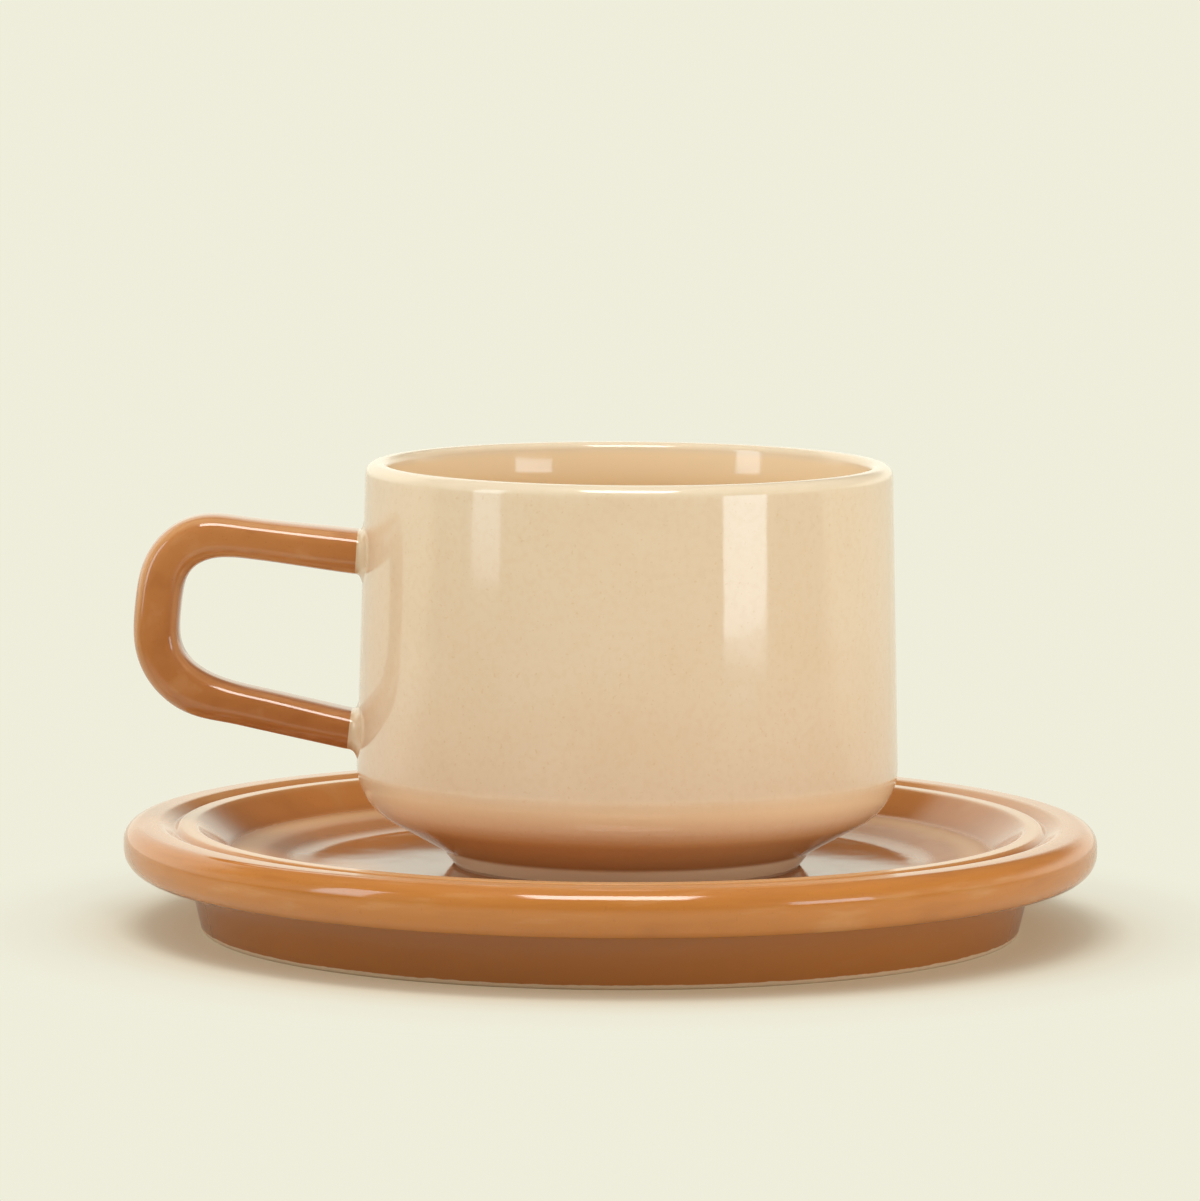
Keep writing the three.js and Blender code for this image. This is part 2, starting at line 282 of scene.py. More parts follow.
class CupSizes(bpy.types.PropertyGroup):
    """Sizes of the cup: radii from its own axis, heights up from its foot."""

    offset: length("Offset", "From the saucer's axis to the cup's", (CUP_LOW.x + CUP_HIGH.x) / 2)
    height: length("Height", "From the foot to the top of the lip", CUP_HIGH.z - CUP_LOW.z)
    rim_radius: mm("Rim radius", "Outer radius at the lip", 40.5)
    belly_radius: mm("Belly radius", "Outer radius where wall and underside would meet", 41.85)
    belly_height: mm("Belly height", "Height where wall and underside would meet", 9.95)
    belly_round: mm("Belly rounding", "Radius of the belly outside", 9.4)
    belly_inner_round: mm("Belly's inner rounding", "Radius of its inside", 8.0)
    foot_radius: mm("Foot radius", "Outer radius of the foot ring", 26.8)
    foot_height: mm("Foot height", "Height of the foot ring's outside", 2.6)
    foot_flare: mm("Foot flare", "How far the foot ring widens upwards", 1.7)
    foot_cove: mm("Foot cove", "Radius from foot ring to underside", 1.5)
    foot_width: mm("Foot width", "Width of the foot ring", 4.0)
    foot_edge: mm("Foot edge", "Radius of the foot ring's edges", 0.5)
    foot_draft: mm("Foot draft", "Slope of the recess inside the foot ring", 1.4)
    foot_recess: mm("Foot recess", "Depth of the recess inside the foot ring", 2.2)
    recess_round: mm("Recess rounding", "Radius of its corner", 1.0)
    wall: mm("Wall", "Thickness of the wall", 3.3)
    floor: mm("Floor", "Thickness of the floor", 4.4)
    floor_round: mm("Floor rounding", "Radius round its edge", 9.0)
    lip_depth: mm("Lip depth", "Depth of the flare inside the lip", 6.0)
    lip_flare: mm("Lip flare", "How far the lip's inside flares", 0.6)
    lip_flare_round: mm("Lip flare rounding", "Radius from flare to inner wall", 30.0)
    lip_outer_round: mm("Lip's outer rounding", "Radius of its outer edge", 1.8)
    lip_inner_round: mm("Lip's inner rounding", "Radius of its inner edge", 1.2)


class HandleSizes(bpy.types.PropertyGroup):
    """Sizes of the handle: reaches out from the cup's wall, heights up from the cup's foot."""

    upper_root: mm("Upper root", "Height of the upper root", 48.1)
    top_bend: mm("Top bend", "Height of the corner at the top", 51.55)
    top_reach: mm("Top reach", "Reach of the corner at the top", 30.35)
    top_radius: mm("Top radius", "Rounding of the corner at the top", 8.3)
    grip: mm("Grip", "Height of the corner at the back", 32.4)
    grip_reach: mm("Grip reach", "Reach of the corner at the back", 31.8)
    grip_radius: mm("Grip radius", "Rounding of the corner at the back", 9.5)
    low_bend: mm("Low bend", "Height of the corner at the bottom", 26.2)
    low_reach: mm("Low reach", "Reach of the corner at the bottom", 26.65)
    low_radius: mm("Low radius", "Rounding of the corner at the bottom", 11.2)
    lower_root: mm("Lower root", "Height of the lower root", 20.7)
    arm_thickness: mm("Arm thickness", "Thickness of the strap along the arms", 6.15)
    arm_width: mm("Arm width", "Width of the strap", 9.8)
    upper_thickness: mm("Upper thickness", "Thickness at the upper root", 6.7)
    lower_thickness: mm("Lower thickness", "Thickness at the lower root", 6.0)
    root_width: mm("Root width", "Width at the roots", 11.2)
    root_flare: mm("Root flare", "Length over which the strap widens to a root", 15.0)
    grip_thickness: mm("Grip thickness", "Thickness of the strap through the grip", 7.1)
    swell_start: mm("Swell start", "Where the strap starts to thicken, from a root", 17.0)
    swell_length: mm("Swell length", "Length over which the strap thickens to the grip", 9.0)
    squareness: number("Squareness", "How square the section is; 2 is an ellipse", 3.3)
    upper_collar: mm("Upper collar", "Length of the slip collar at the upper root", 0.9)
    lower_collar: mm("Lower collar", "Length of the slip collar at the lower root", 1.25)
    collar_flare: mm("Collar flare", "How far the collars spread on the wall", 1.6)
    collar_sink: mm("Collar sink", "How far the collars run on under the wall's glaze", 0.3)


class Glazes(bpy.types.PropertyGroup):
    """Colours and roughness of the glazes, some of them painted light and shade, and the colour of the bare
    clay.
    """

    cream: colour("Cream", "The cup's glaze", (0.80, 0.625, 0.44))
    cream_thin: colour("Thin cream", "The cup's glaze where it runs thin, on the lip", (0.82, 0.68, 0.50))
    # The pooled cream is also painted shade, deep inside the cup and below the belly.
    cream_pool_and_shade: colour("Pooled cream", "The cup's glaze where it pools", (0.62, 0.36, 0.115))
    # Painted light: a lighter, warmer copy of the cream for inside the cup and over the belly's turn.
    cream_lit: colour("Warm cream", "The cup's glaze inside and on the belly's turn", (0.96, 0.735, 0.455))
    # Thin glaze round the foot, painted lighter as painted light where the foot lies in shade.
    foot_band_lit: colour("Foot band", "Thin glaze round the outside of the cup's foot", (0.97, 0.80, 0.54))
    cream_roughness: number("Cream roughness", "Roughness of the cup's glaze", 0.07)
    caramel: colour("Caramel", "The saucer's glaze", (0.54, 0.198, 0.040))
    # Thin caramel is also painted light on the saucer's upward crests and ledge.
    caramel_thin_and_lit: colour("Thin caramel", "The saucer's glaze where it breaks", (0.66, 0.36, 0.15))
    # Pooled caramel is also painted shade in the well.
    caramel_pool_and_shade: colour("Pooled caramel", "The saucer's glaze where it pools", (0.36, 0.118, 0.024))
    # Painted shade: the base's darker caramel stands in for the shade under the rim.
    caramel_base_shade: colour("Deep caramel", "The saucer's thick glaze on its base", (0.39, 0.135, 0.029))
    caramel_roughness: number("Caramel roughness", "Roughness of the saucer's glaze", 0.09)
    ledge_roughness: number("Ledge roughness", "What the ledge adds to that roughness", 0.24)
    brown: colour("Brown", "The handle's glaze", (0.53, 0.21, 0.064))
    # Thin brown is also a painted sheen along the handle's corners.
    brown_thin_and_lit: colour("Thin brown", "The handle's glaze where it breaks", (0.68, 0.36, 0.16))
    # Pooled brown is also painted shade on the lower handle.
    brown_pool_and_shade: colour("Pooled brown", "The handle's glaze where it pools", (0.34, 0.11, 0.024))
    brown_roughness: number("Brown roughness", "Roughness of the handle's glaze", 0.08)
    slip: colour("Slip", "Glaze over the slip collars", (0.72, 0.55, 0.37))
    slip_roughness: number("Slip roughness", "Roughness of the glaze over the collars", 0.10)
    clay: colour("Bare clay", "Unglazed clay of the foot rings", (0.66, 0.46, 0.28))


class StageSettings(bpy.types.PropertyGroup):
    """The floor, the lamps and the camera."""

    floor: colour("Floor", "Paint of the floor", (0.76, 0.755, 0.65))
    backdrop: colour("Backdrop", "Colour of the far floor and of the sky behind it", (0.86, 0.85, 0.71))
    # Painted light: a warm glow painted on the floor round the saucer, given by no lamp.
    bounce: colour("Bounce", "Warm light that the saucer throws on the floor round it", (0.86, 0.60, 0.32))
    room: colour("Room", "Tint of the room's light", (1.0, 0.99, 0.935))
    mirrored_room: colour("Mirrored room", "Tint of the room that the glaze mirrors", (1.0, 1.0, 0.85))
    dark_floor: colour("Dark floor", "Floor far in front that the glaze mirrors", (0.08, 0.075, 0.06))
    even: number("Even light", "Light that reaches the ware alike from all sides", 0.415)
    ambient: number("Ambient", "Light that the room's brighter parts add", 0.16)
    key_power: number("Key power", "The key lamp, high in front", 1.8, "POWER")
    gleam_power: number("Gleam power", "The key lamp in the glaze alone", 16.0, "POWER")
    top_power: number("Top power", "The lamp overhead, which throws the shadow", 5.6, "POWER")
    right_power: number("Right power", "The right lamp", 0.305, "POWER")
    left_power: number("Left power", "The left lamp's lower end", 0.052, "POWER")
    left_top_power: number("Left top power", "The rest of the left lamp", 0.55, "POWER")
    right_fill: number("Right fill", "The soft light from the right", 0.60, "POWER")
    left_fill: number("Left fill", "The soft light from the left", 0.26, "POWER")
    side_distance: length("Side distance", "From the saucer's axis to the side lamps", 0.55)
    camera_distance: length("Camera distance", "From the saucer's axis", 1.175)
    camera_height: length("Camera height", "Over the table", 0.1754)
    camera_lens: number("Lens", "Focal length", FOCAL_PIXELS * FRAME_SIDE / SIDE_PIXELS, "CAMERA")
    camera_pitch: number("Pitch", "How far the camera looks down", math.radians(6.057), "ROTATION")
    camera_yaw: number("Yaw", "How far the camera turns to the right", math.radians(-0.089), "ROTATION")
    camera_roll: number("Roll", "How far the camera leans to the left", math.radians(0.35), "ROTATION")


def rounded(corners):
    """Straight sides through corners (x, y, radius), worked out as complex numbers. Each inner corner
    becomes the arc of its radius that is tangent to both its sides, cut to half of the shorter one: centre
    plus the first arm turned by a share of the whole turn."""
    points = np.array([complex(*corner[:2]) for corner in corners])
    radii = np.array([corner[2] if len(corner) > 2 else 0.0 for corner in corners])[1:-1]
    corner = points[1:-1]
    back, ahead = points[:-2] - corner, points[2:] - corner
    shorter = np.minimum(np.abs(back), np.abs(ahead))
    back, ahead = back / np.abs(back), ahead / np.abs(ahead)
    between = np.angle(back / ahead)
    half = np.abs(between) / 2
    radius = np.minimum(radii, shorter / 2 * np.tan(half))
    start = corner + back * radius / np.tan(half)
    centre = corner + (back + ahead) / np.abs(back + ahead) * radius / np.sin(half)
    turn = np.sign(between) * np.pi - between
    angle = turn[:, None] * np.linspace(0, 1, ARC_POINTS)
    arcs = centre[:, None] + (start - centre)[:, None] * np.exp(1j * angle)
    line = np.concatenate([points[:1], arcs.ravel(), points[-1:]])
    return np.stack([line.real, line.imag], -1)


def walked(line):
    """Distance along a line at each of its points: the running sum of the steps between them."""
    return np.concatenate([[0.0], np.cumsum(np.linalg.norm(np.diff(line, axis=0), axis=1))])


def stopped(line, distance, stops):
    """The line's points at some stops along it, by linear interpolation between its own."""
    return np.stack([np.interp(stops, distance, line[:, axis]) for axis in (0, 1)], -1)


def stepped(line, step):
    """The line with points added on its long runs, none further apart than a step."""
    distance = walked(line)
    stops = np.union1d(distance, np.arange(0, distance[-1], step))
    stops = stops[np.concatenate([[True], np.diff(stops) > step * CLOSEST_SHARE])]
    return stopped(line, distance, stops)


def eased(line, reach):
    """The line with even steps and its bends spread out: each point becomes the mean of its neighbours,
    weighted by a bell curve of this reach along the line, which is carried straight on past its ends."""
    distance = walked(line)
    count = int(distance[-1] / HANDLE_STEP) + 1
    even = stopped(line, distance, np.linspace(0, distance[-1], count))
    pad = int(BELL_REACHES * reach / HANDLE_STEP)
    steps = np.arange(-pad, pad + 1)
    bell = np.exp(-0.5 * (steps * HANDLE_STEP / reach) ** 2)
    before = 2 * even[0] - even[pad:0:-1]
    after = 2 * even[-1] - even[-2 : -pad - 2 : -1]
    padded = np.concatenate([before, even, after])
    return np.stack([np.convolve(padded[:, axis], bell / bell.sum(), "valid") for axis in (0, 1)], -1)


def skin(name, rings, first, last):
    """A closed skin over a grid of rings: quads between neighbours, wrapped round each ring, and a fan of
    triangles from each end ring to its pole. Its UV map holds the share of the way along and round."""
    count, sides = rings.shape[:2]
    index = np.arange(count * sides).reshape(count, sides)
    after = np.roll(index, -1, axis=1)
    quads = np.stack([index[:-1], after[:-1], after[1:], index[1:]], -1).reshape(-1, 4)
    first_pole, last_pole = count * sides, count * sides + 1
    fans = np.concatenate(
        [
            np.stack([np.full(sides, first_pole), after[0], index[0]], -1),
            np.stack([np.full(sides, last_pole), index[-1], after[-1]], -1),
        ]
    )
    along, around = np.linspace(0, 1, count), np.linspace(0, 1, sides + 1)
    share = np.stack(np.meshgrid(along, around, indexing="ij"), -1)
    here, beside = share[:, :-1], share[:, 1:]
    quads_uv = np.stack([here[:-1], beside[:-1], beside[1:], here[1:]], 2)
    first_uv = np.stack([here[0], beside[0], here[0]], 1)
    last_uv = np.stack([here[-1], here[-1], beside[-1]], 1)
    uv = np.concatenate([part.ravel() for part in (quads_uv, first_uv, last_uv)])
    mesh = bpy.data.meshes.new(name)
    points = np.concatenate([rings.reshape(-1, 3), [first], [last]])
    mesh.from_pydata(points.tolist(), [], quads.tolist() + fans.tolist())
    mesh.uv_layers.new(name=SKIN_MAP).data.foreach_set("uv", uv.astype(np.float32))
    mesh.polygons.foreach_set("use_smooth", np.ones(len(mesh.polygons), bool))
    mesh.set_sharp_from_angle(angle=SHARP_ANGLE)
    mesh.validate()
    made = bpy.data.objects.new(name, mesh)
    bpy.context.scene.collection.objects.link(made)
    return made


def turned(name, profile, sides, axis_x, base_z):
    """A profile of (radius, height) points turned about an upright axis: (radius cos a, radius sin a,
    height). Its first and last points lie on the axis and are the poles."""
    angle = np.linspace(0, 2 * np.pi, sides, endpoint=False)
    radius, height = profile[1:-1, :1], profile[1:-1, 1:]
    flat = np.ones_like(angle)
    rings = np.stack([axis_x + radius * np.cos(angle), radius * np.sin(angle), base_z + height * flat], -1)
    poles = [(axis_x, 0.0, base_z + profile[end, 1]) for end in (0, -1)]
    return skin(name, rings, *poles)


def saucer_lines(saucer):
    """Radii of the lines on the saucer's top: each is the line outside it less the width between them."""
    roll_inner = saucer.radius - saucer.roll_width
    groove = roll_inner - saucer.groove_flank
    bead_outer = groove - saucer.bead_flank
    bead_inner = bead_outer - saucer.bead_width
    ledge_outer = bead_inner - saucer.inner_wall_width
    ledge_inner = ledge_outer - saucer.ledge_width
    well = ledge_inner - saucer.slope_width
    return roll_inner, groove, bead_outer, bead_inner, ledge_outer, ledge_inner, well


def saucer_profile(sizes):
    """From under the well out to the foot ring, up the base, round the roll, and in over groove, bead and
    ledge to the well."""
    s = sizes
    roll_inner, groove, bead_outer, bead_inner, ledge_outer, ledge_inner, well = saucer_lines(s)
    base_top = s.radius - s.overhang
    foot_outer = base_top - s.base_taper
    foot_inner = foot_outer - s.foot_width
    underside = s.height - s.roll_height
    groove_height = s.height - s.groove_depth
    bead_height = groove_height + s.bead_rise
    ledge_low = s.well_height + s.slope_rise
    ledge_high = ledge_low + s.ledge_rise
    recess = s.well_height - s.floor
    return [
        (0.0, recess),
        (foot_inner - s.recess_draft, recess, s.recess_round),
        (foot_inner, 0.0, s.foot_edge),
        (foot_outer, 0.0, s.foot_edge),
        (base_top, underside, s.base_cove),
        (s.radius, underside, s.roll_height / 2),
        (s.radius, s.height, s.roll_height / 2),
        (roll_inner, s.height, s.roll_round),
        (groove, groove_height, s.groove_round),
        (bead_outer, bead_height, s.bead_outer_round),
        (bead_inner, bead_height, s.bead_inner_round),
        (ledge_outer, ledge_high, s.ledge_outer_round),
        (ledge_inner, ledge_low, s.ledge_inner_round),
        (well, s.well_height, s.well_round),
        (0.0, s.well_height),
    ]


def cup_taper(cup):
    """Radius where the underside starts to rise over the foot, and its rise for each metre outwards."""
    start = cup.foot_radius + cup.foot_flare
    return start, (cup.belly_height - cup.foot_height) / (cup.belly_radius - start)


def cup_profile(sizes):
    """From under the floor out to the foot ring, up the underside and the wall, over the lip and down
    inside to the floor."""
    s = sizes
    foot_inner = s.foot_radius - s.foot_width
    taper_start, taper = cup_taper(s)
    floor_height = s.foot_recess + s.floor
    belly_inner = s.belly_radius - s.wall - s.lip_flare
    return [
        (0.0, s.foot_recess),
        (foot_inner - s.foot_draft, s.foot_recess, s.recess_round),
        (foot_inner, 0.0, s.foot_edge),
        (s.foot_radius, 0.0, s.foot_edge),
        (taper_start, s.foot_height, s.foot_cove),
        (s.belly_radius, s.belly_height, s.belly_round),
        (s.rim_radius, s.height, s.lip_outer_round),
        (s.rim_radius - s.wall, s.height, s.lip_inner_round),
        (s.rim_radius - s.wall - s.lip_flare, s.height - s.lip_depth, s.lip_flare_round),
        (belly_inner, floor_height + taper * (belly_inner - taper_start), s.belly_inner_round),
        (taper_start, floor_height, s.floor_round),
        (0.0, floor_height),
    ]


def wall_radius(cup, height):
    """The cup's outer wall is a straight line from the belly to the rim."""
    share = (height - cup.belly_height) / (cup.height - cup.belly_height)
    return cup.belly_radius + share * (cup.rim_radius - cup.belly_radius)


def smooth(value, low, high):
    """0 below low and 1 above high, with 3t squared minus 2t cubed between."""
    share = np.clip((value - low) / (high - low), 0, 1)
    return share**2 * (3 - 2 * share)


def handle_rings(cup, handle):
    """Rounded rectangles carried along the loop: a ring's point is the centre line's point, plus half the
    thickness times cos a raised to 2 over the squareness across it, plus half the width times sin a raised
    the same way along Y. Thickness and width change towards the roots by a smooth step, and the thickness
    grows by another one into the grip. The end rings lean halfway between square to the loop and upright.
    The slopes of both ends come after the rings."""

    def corner(reach, height, radius=0.0):
        return (-wall_radius(cup, height) - reach, height, radius)

    line = rounded(
        [
            corner(handle.upper_collar, handle.upper_root),
            corner(handle.top_reach, handle.top_bend, handle.top_radius),
            corner(handle.grip_reach, handle.grip, handle.grip_radius),
            corner(handle.low_reach, handle.low_bend, handle.low_radius),
            corner(handle.lower_collar, handle.lower_root),
        ]
    )
    line = eased(stepped(line, HANDLE_STEP), HANDLE_EASE)
    run = np.gradient(line, axis=0)
    run /= np.linalg.norm(run, axis=1)[:, None]
    run[0] += (-1.0, 0.0)
    run[-1] += (1.0, 0.0)
    run /= np.linalg.norm(run, axis=1)[:, None]
    distance = walked(line)
    from_root = np.minimum(distance, distance[-1] - distance)
    root_thickness = np.where(distance < distance[-1] / 2, handle.upper_thickness, handle.lower_thickness)
    flare = 1 - smooth(from_root, 0, handle.root_flare)
    swell = smooth(from_root, handle.swell_start, handle.swell_start + handle.swell_length)
    thickness = (
        handle.arm_thickness
        + flare * (root_thickness - handle.arm_thickness)
        + swell * (handle.grip_thickness - handle.arm_thickness)
    )
    width = handle.arm_width + flare * (handle.root_width - handle.arm_width)
    angle = np.linspace(0, 2 * np.pi, HANDLE_SIDES, endpoint=False)
    power = 2 / handle.squareness
    across = np.sign(np.cos(angle)) * np.abs(np.cos(angle)) ** power
    sideways = np.sign(np.sin(angle)) * np.abs(np.sin(angle)) ** power
    rings = np.stack(
        [
            line[:, :1] + run[:, 1:] * thickness[:, None] / 2 * across,
            width[:, None] / 2 * sideways,
            line[:, 1:] - run[:, :1] * thickness[:, None] / 2 * across,
        ],
        -1,
    )
    return rings, run[0, 1] / run[0, 0], run[-1, 1] / run[-1, 0]


def collar_rings(cup, handle, ring, slope, reach):
    """Rings from the end of the handle on to the wall and a little into it: the end ring moved along the
    handle's slope by a share of each point's way to the wall, and spread about its middle by the flare
    times the share cubed, so that the collar runs out in a cove."""
    middle = ring.mean(0)
    out = ring - middle
    share = np.linspace(0, 1 + handle.collar_sink / reach, COLLAR_RINGS)[:, None]
    spread = 1 + handle.collar_flare * share**3 / np.linalg.norm(out, axis=1)
    y = middle[1] + out[:, 1] * spread
    z = ring[:, 2] + out[:, 2] * (spread - 1)
    wall_x = -np.sqrt(wall_radius(cup, z) ** 2 - y**2)
    x = ring[:, 0] + share * (wall_x - ring[:, 0])
    return np.stack([x, y, z + slope * (x - ring[:, 0])], -1)


class Socket:
    """A shader node's output. Arithmetic on it adds Math nodes, and node() adds any other node."""

    def __init__(self, tree, output=None):
        self.tree = tree
        self.output = output

    def node(self, kind, settings, values, output=0):
        """Adds a node of a kind: its settings first, then the values or links of its sockets."""
        made = self.tree.nodes.new(kind)
        for name, value in settings.items():
            setattr(made, name, value)
        for key, value in values.items():
            if isinstance(value, Socket):
                self.tree.links.new(value.output, made.inputs[key])
            else:
                made.inputs[key].default_value = value
        return Socket(self.tree, made.outputs[output]) if made.outputs else None

    def math(self, operation, *values):
        """Adds a Math node over values."""
        return self.node("ShaderNodeMath", {"operation": operation}, dict(enumerate(values)))

    def __add__(self, other):
        return self.math("ADD", self, other)

    __radd__ = __add__

    def __sub__(self, other):
        return self.math("SUBTRACT", self, other)

    def __rsub__(self, other):
        return self.math("SUBTRACT", other, self)

    def __mul__(self, other):
        return self.math("MULTIPLY", self, other)

    __rmul__ = __mul__

    def __truediv__(self, other):
        return self.math("DIVIDE", self, other)

    def __rtruediv__(self, other):
        return self.math("DIVIDE", other, self)

    def __pow__(self, other):
        return self.math("POWER", self, other)

    def __rpow__(self, other):
        return self.math("POWER", other, self)

    def __abs__(self):
        return self.math("ABSOLUTE", self)

    def most(self, other):
        """The larger of this and another."""
        return self.math("MAXIMUM", self, other)

    def ramp(self, low, high):
        """0 below low and 1 above high, with a smooth step between; low above high turns it round."""
        settings = {"interpolation_type": "SMOOTHSTEP"}
        return self.node("ShaderNodeMapRange", settings, {0: self, 1: low, 2: high, 3: 0.0, 4: 1.0})

    def near(self, middle, reach):
        """1 at the middle, falling smoothly to 0 a reach away."""
        return abs(self - middle).ramp(reach, 0.0)

    def noise(self, scale, detail=2.0):
        """Noise of this many grains to a metre over a vector."""
        return self.node("ShaderNodeTexNoise", {}, {"Vector": self, "Scale": scale, "Detail": detail})

    def mix(self, below, above):
        """The colour below where this is 0 and the colour above where it is 1."""
        return self.node("ShaderNodeMix", {"data_type": "RGBA"}, {0: self, 6: below, 7: above}, 2)

    def axis(self, name):
        """One axis of a vector."""
        return self.node("ShaderNodeSeparateXYZ", {}, {0: self}, name)


def rgba(colour_value):
    """A colour with full cover."""
    return (*colour_value, 1.0)


def from_axis(x, y):
    """Distance from the upright axis: the root of x squared plus y squared."""
    return (x * x + y * y) ** 0.5


def shader(name):
    """A new material, and the Object coordinates in its tree."""
    material = bpy.data.materials.new(name)
    material.use_nodes = True
    material.node_tree.nodes.clear()
    return material, Socket(material.node_tree).node("ShaderNodeTexCoord", {}, {}, "Object")


def glaze(material, place, tone, roughness, bare=None):
    """Closes a glaze: gloss ware with slow waves, fine peel and dull spots, and grainy clay where bare."""
    waves = place.noise(WAVE_SCALE, detail=1.0) * WAVE_HEIGHT
    height = waves + place.noise(PEEL_SCALE, detail=1.0) * PEEL_HEIGHT
    spots = place.noise(DULL_SPOT_SCALE, detail=3.0).ramp(*DULL_SPOT_LEVELS)
    roughness = spots * DULL_SPOT_ROUGHNESS + roughness
    if bare is not None:
        grain = place.noise(GRAIN_SCALE, detail=3.0) * GRAIN_HEIGHT
        height = (1 - bare) * height + bare * grain
        roughness = (1 - bare) * roughness + bare * CLAY_ROUGHNESS
    normal = place.node("ShaderNodeBump", {}, {"Strength": 1.0, "Distance": MM, "Height": height})
    skin_shader = place.node(
        "ShaderNodeBsdfPrincipled",
        {},
        {"Base Color": tone, "Roughness": roughness, "IOR": GLAZE_IOR, "Normal": normal},
    )
    place.node("ShaderNodeOutputMaterial", {}, {"Surface": skin_shader})
    return material


def mottled(place, tone, dark, amount):
    """A tone clouded with its pooled shade and peppered with a few fine iron specks."""
    cloud = place.noise(CLOUD_SCALE, detail=4.0).ramp(*CLOUD_LEVELS)
    speck = place.noise(SPECK_SCALE, detail=0.0).ramp(*SPECK_LEVELS)
    return (speck * SPECK_SHARE).mix((cloud * amount).mix(tone, dark), dark)


def bare_foot(place, height, line):
    """1 where the clay is bare: below a line that wanders up a little."""
    wander = place.noise(GLAZE_LINE_SCALE) * GLAZE_LINE_WANDER
    return (height - wander).ramp(line, line - GLAZE_LINE_SOFTNESS)


def cream_glaze(colours, cup, base_z):
    """Cream over the cup: painted light inside, a lighter and warmer copy of the cream, going over to
    pooled glaze and painted shade deeper down; painted light over the turn of the belly, and pooled glaze
    with painted shade below it; thin on the lip, thin glaze painted lighter round the foot, and bare under
    it. Inside is what lies within the wall and well over the line of the underside."""
    material, place = shader("cream_glaze")
    x, y, z = (place.axis(name) for name in "XYZ")
    height = z - base_z
    out = from_axis(x - cup.offset, y)
    pool_and_shade, warm = rgba(colours.cream_pool_and_shade), rgba(colours.cream_lit)
    tone = mottled(place, rgba(colours.cream), pool_and_shade, CREAM_CLOUDS)
    mist = place.noise(MIST_SCALE).ramp(*MIST_LEVELS)
    tone = (mist * CREAM_MIST).mix(tone, pool_and_shade)
    taper_start, taper = cup_taper(cup)
    underside = cup.foot_height + taper * (out - taper_start)
    within_wall = (cup.rim_radius - out).ramp(cup.wall / 2, cup.wall)
    inside = within_wall * (height - underside.most(cup.foot_recess)).ramp(*INSIDE_OVER_UNDERSIDE)
    below_lip = cup.height - height
    deep = below_lip.ramp(*INSIDE_BELOW_LIP)
    # Painted light inside: the lighter cream, going over to pooled glaze and painted shade deeper down.
    tone = inside.mix(tone, (deep * INSIDE_POOL_AND_SHADE).mix(warm, pool_and_shade))
    outside = 1 - inside
    over_belly = height - cup.belly_height
    # Painted light: the cream is lighter over the turn of the belly.
    turn = over_belly.near(TURN_OVER_BELLY, TURN_REACH) * outside
    tone = (turn * TURN_LIT).mix(tone, warm)
    # Pooled glaze and painted shade below the belly.
    belly = over_belly.ramp(*POOL_AND_SHADE_OVER_BELLY) * outside
    tone = (belly * BELLY_POOL_AND_SHADE).mix(tone, pool_and_shade)
    lip = below_lip.ramp(*THIN_BELOW_LIP)
    tone = (lip * LIP_THIN).mix(tone, rgba(colours.cream_thin))
    # Thin glaze round the foot, painted lighter as painted light.
    band = (height - cup.foot_height).ramp(*BAND_OVER_FOOT)
    band *= (out - cup.foot_radius).ramp(*BAND_BESIDE_FOOT)
    tone = band.mix(tone, rgba(colours.foot_band_lit))
    bare = bare_foot(place, height, CUP_GLAZE_LINE)
    tone = bare.mix(tone, rgba(colours.clay))
    return glaze(material, place, tone, colours.cream_roughness, bare)


